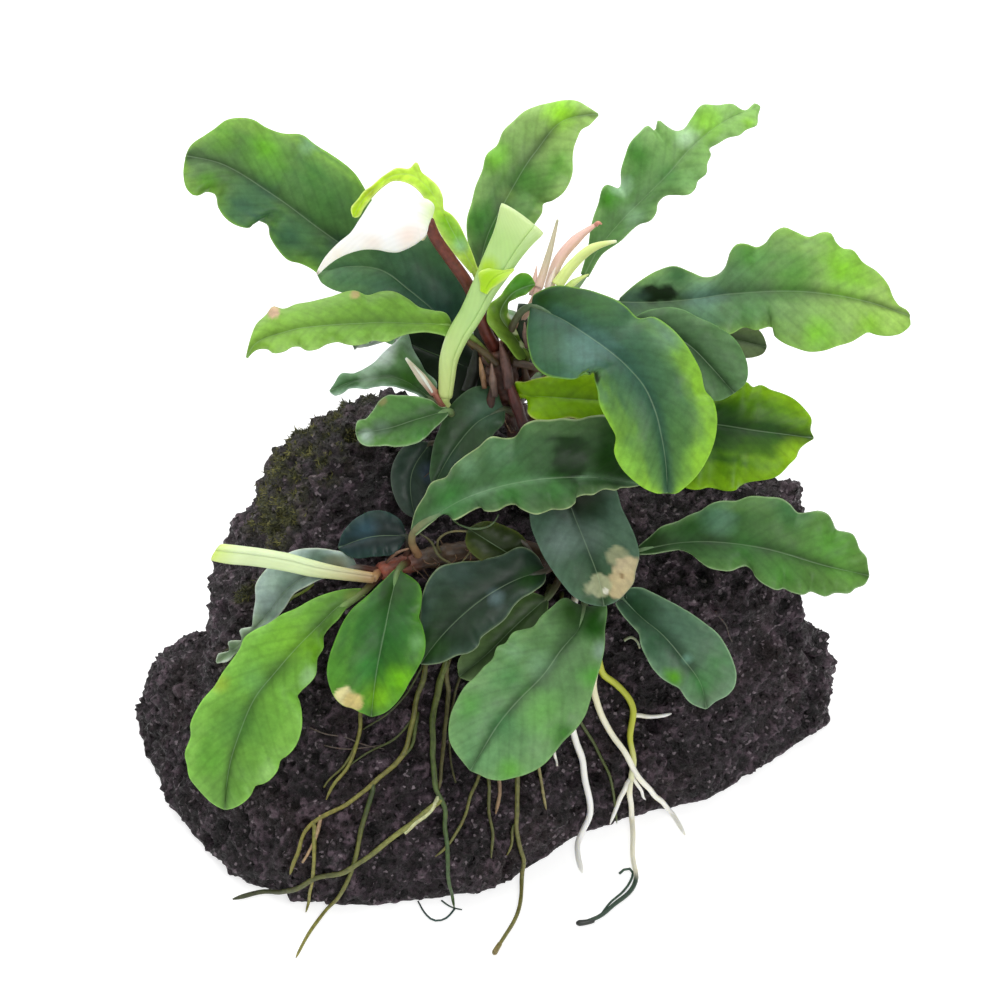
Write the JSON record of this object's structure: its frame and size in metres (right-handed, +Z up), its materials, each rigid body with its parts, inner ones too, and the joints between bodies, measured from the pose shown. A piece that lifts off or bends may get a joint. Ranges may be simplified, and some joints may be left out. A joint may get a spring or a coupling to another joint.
{
  "type": "bucephalandra on stone",
  "caption": "Small leafy water plant with wavy leaves, a white flower hood and trailing roots, growing on a dark porous lava stone with a flat base.",
  "frame": {"origin": "on the stone's flat underside, under the middle of the plant", "axes": "+Z up, -Z out of the stone's flat underside; +X along the stone's length, to the right of a viewer who faces the leaves and the flower; -Y towards that viewer"},
  "size_m": [0.1074, 0.0921, 0.0892],
  "materials": {
    "lava": "matte",
    "stem": "satin",
    "leaf_old": "satin",
    "leaf_mid": "satin",
    "leaf_young": "satin",
    "petal_white": "satin",
    "petal_green": "satin",
    "petal_cream": "satin",
    "flower_stalk": "satin",
    "flower_spike": "matte",
    "sheath": "satin",
    "root_green": "satin",
    "root_white": "satin"
  },
  "bodies": {
    "root": {"flower_spike": "flower_spike", "flower_stalk": "flower_stalk", "leaf_back": "leaf_mid", "leaf_back_left": "leaf_old", "leaf_back_right": "leaf_old", "leaf_behind_arch": "leaf_old", "leaf_bright_centre": "leaf_young", "leaf_bright_left": "leaf_young", "leaf_bright_right": "leaf_young", "leaf_dark_centre": "leaf_old", "leaf_dark_left": "leaf_old", "leaf_dark_low": "leaf_old", "leaf_dark_small": "leaf_old", "leaf_dull": "leaf_old", "leaf_edge_on": "leaf_mid", "leaf_far_right": "leaf_mid", "leaf_front_arch": "leaf_old", "leaf_front_low": "leaf_mid", "leaf_grey_left": "leaf_old", "leaf_hanging": "leaf_old", "leaf_high_left": "leaf_mid", "leaf_hood": "leaf_young", "leaf_long_left": "leaf_mid", "leaf_olive": "leaf_mid", "leaf_oval": "leaf_mid", "leaf_right": "leaf_mid", "leaf_right_low": "leaf_old", "leaf_shaded": "leaf_old", "leaf_side_high": "leaf_old", "leaf_side_low": "leaf_mid", "leaf_spotted": "leaf_old", "leaf_top": "leaf_mid", "leaf_top_right": "leaf_mid", "leaf_under_far_right": "leaf_old", "leaf_wavy": "leaf_mid", "root_centre": "root_green", "root_centre_left": "root_green", "root_far_left": "root_green", "root_forked": "root_white", "root_left": "root_green", "root_long": "root_green", "root_short": "root_green", "root_stub": "root_green", "root_white": "root_white", "sheath_green": "sheath", "sheath_pink": "sheath", "sheath_side": "sheath", "sheath_thin": "sheath", "spathe_cream": "petal_cream", "spathe_green": "petal_green", "spathe_white": "petal_white", "stem_lower": "stem", "stem_side": "stem", "stem_upper": "stem", "stone": "lava"}
  },
  "joints": []
}
